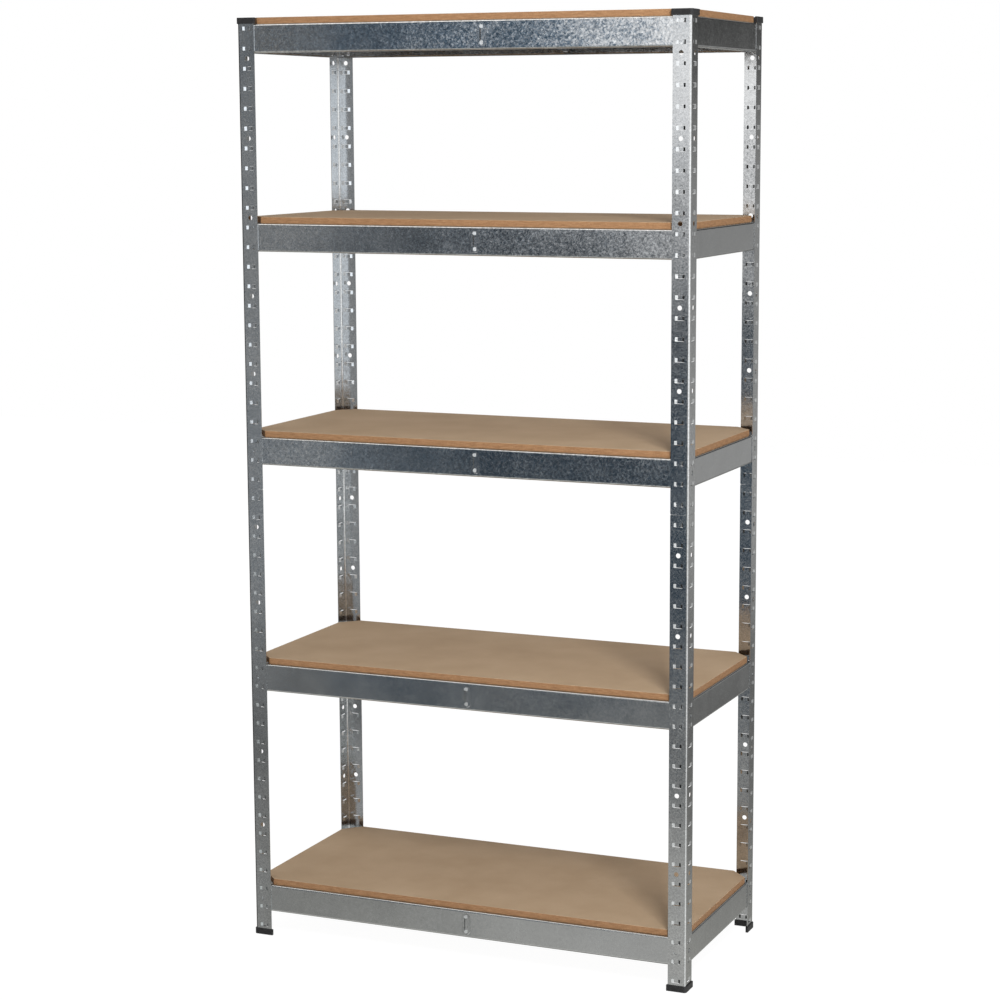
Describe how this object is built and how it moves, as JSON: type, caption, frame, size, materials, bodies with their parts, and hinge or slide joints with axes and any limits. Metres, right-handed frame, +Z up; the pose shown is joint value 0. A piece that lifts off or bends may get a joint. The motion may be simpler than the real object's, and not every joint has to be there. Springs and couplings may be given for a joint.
{
  "type": "boltless steel shelving",
  "caption": "Free-standing boltless shelving unit: perforated galvanised angle posts in two halves, hook-in C-section beams, tie bars, loose MDF boards, plastic feet and top caps.",
  "frame": {"origin": "on the floor, in the middle of the footprint", "axes": "+Z up, +X to the right along the front, +Y to the back"},
  "size_m": [0.9146, 0.4146, 1.8031],
  "materials": {
    "galvanised_steel": "spangled hot-dip galvanised, semi-bright",
    "board_mdf": "raw MDF, matt, darker sawn edges",
    "black_plastic": "matt moulded black"
  },
  "bodies": {
    "frame": {"post_lower_front_left": "galvanised_steel", "post_lower_front_right": "galvanised_steel", "post_lower_rear_left": "galvanised_steel", "post_lower_rear_right": "galvanised_steel", "post_upper_front_left": "galvanised_steel", "post_upper_front_right": "galvanised_steel", "post_upper_rear_left": "galvanised_steel", "post_upper_rear_right": "galvanised_steel", "post_joiner_front_left": "galvanised_steel", "post_joiner_front_right": "galvanised_steel", "post_joiner_rear_left": "galvanised_steel", "post_joiner_rear_right": "galvanised_steel", "foot_front_left": "black_plastic", "foot_front_right": "black_plastic", "foot_rear_left": "black_plastic", "foot_rear_right": "black_plastic", "top_cap_front_left": "black_plastic", "top_cap_front_right": "black_plastic", "top_cap_rear_left": "black_plastic", "top_cap_rear_right": "black_plastic", "beam_front_1": "galvanised_steel", "beam_front_2": "galvanised_steel", "beam_front_3": "galvanised_steel", "beam_front_4": "galvanised_steel", "beam_front_5": "galvanised_steel", "beam_rear_1": "galvanised_steel", "beam_rear_2": "galvanised_steel", "beam_rear_3": "galvanised_steel", "beam_rear_4": "galvanised_steel", "beam_rear_5": "galvanised_steel", "beam_left_1": "galvanised_steel", "beam_left_2": "galvanised_steel", "beam_left_3": "galvanised_steel", "beam_left_4": "galvanised_steel", "beam_left_5": "galvanised_steel", "beam_right_1": "galvanised_steel", "beam_right_2": "galvanised_steel", "beam_right_3": "galvanised_steel", "beam_right_4": "galvanised_steel", "beam_right_5": "galvanised_steel", "tie_bar_1": "galvanised_steel", "tie_bar_2": "galvanised_steel", "tie_bar_3": "galvanised_steel", "tie_bar_4": "galvanised_steel", "tie_bar_5": "galvanised_steel"},
    "shelf_board_1": {"board_1": "board_mdf"},
    "shelf_board_2": {"board_2": "board_mdf"},
    "shelf_board_3": {"board_3": "board_mdf"},
    "shelf_board_4": {"board_4": "board_mdf"},
    "shelf_board_5": {"board_5": "board_mdf"}
  },
  "joints": [
    {"name": "board_1_lift", "type": "slide", "parent": "frame", "child": "shelf_board_1", "axis": [0, 0, 1], "range_m": [0, 0.37]},
    {"name": "board_2_lift", "type": "slide", "parent": "frame", "child": "shelf_board_2", "axis": [0, 0, 1], "range_m": [0, 0.37]},
    {"name": "board_3_lift", "type": "slide", "parent": "frame", "child": "shelf_board_3", "axis": [0, 0, 1], "range_m": [0, 0.33]},
    {"name": "board_4_lift", "type": "slide", "parent": "frame", "child": "shelf_board_4", "axis": [0, 0, 1], "range_m": [0, 0.3]},
    {"name": "board_5_lift", "type": "slide", "parent": "frame", "child": "shelf_board_5", "axis": [0, 0, 1], "range_m": [0, 0.3]}
  ]
}
